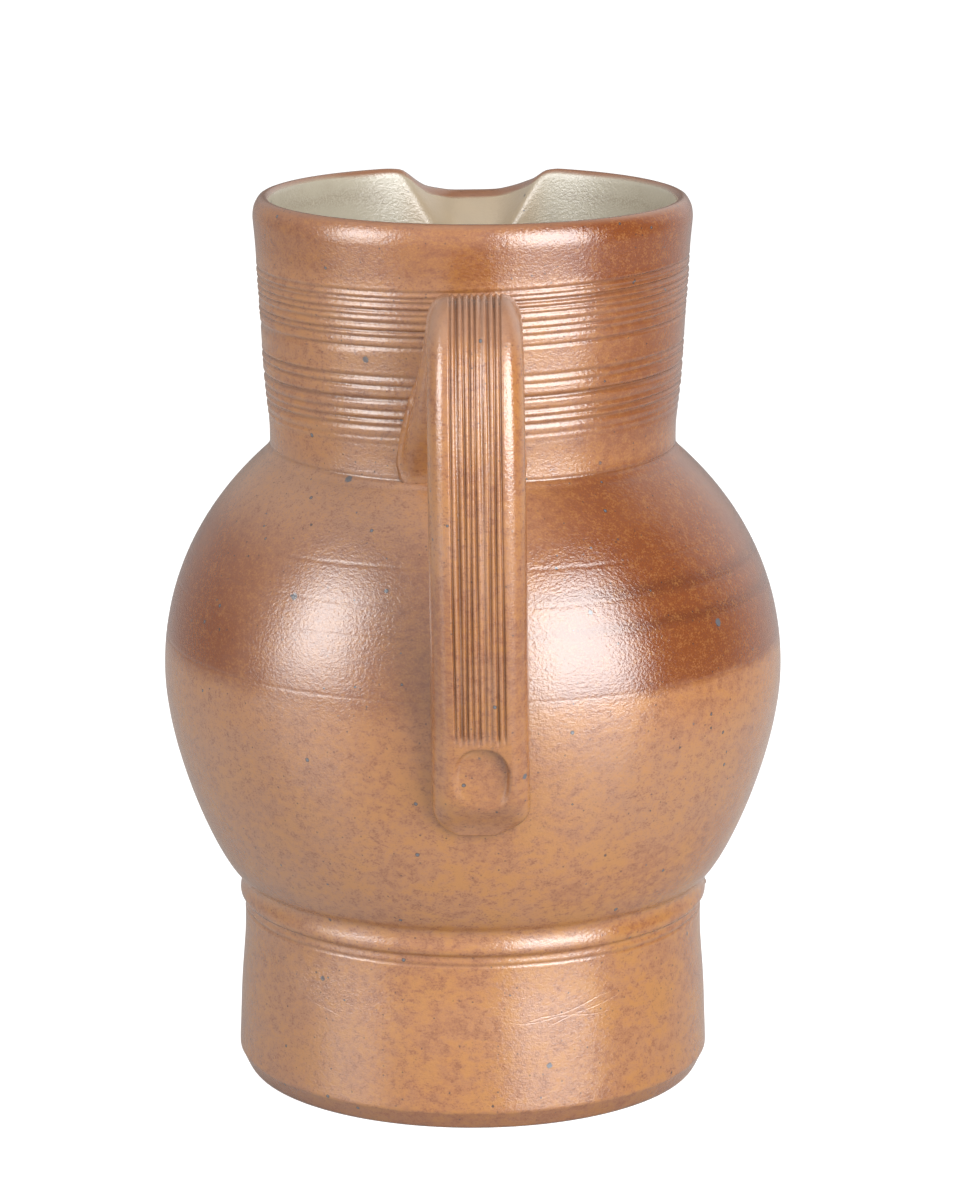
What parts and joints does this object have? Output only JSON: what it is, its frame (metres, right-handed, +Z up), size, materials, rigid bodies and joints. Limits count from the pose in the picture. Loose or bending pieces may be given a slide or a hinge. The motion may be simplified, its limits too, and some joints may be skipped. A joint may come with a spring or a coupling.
{
  "type": "pitcher",
  "caption": "Salt-glazed stoneware pitcher: footed round belly, straight combed neck, pulled spout and a reeded strap handle.",
  "frame": {"origin": "centre of the flat underside, on the vessel's axis", "axes": "+Z up along the vessel's axis, +Y towards the spout, handle towards -Y"},
  "size_m": [0.1602, 0.1843, 0.23],
  "materials": {
    "salt_glaze": "glossy orange-peel salt glaze"
  },
  "bodies": {
    "root": {"pitcher": "salt_glaze"}
  },
  "joints": []
}
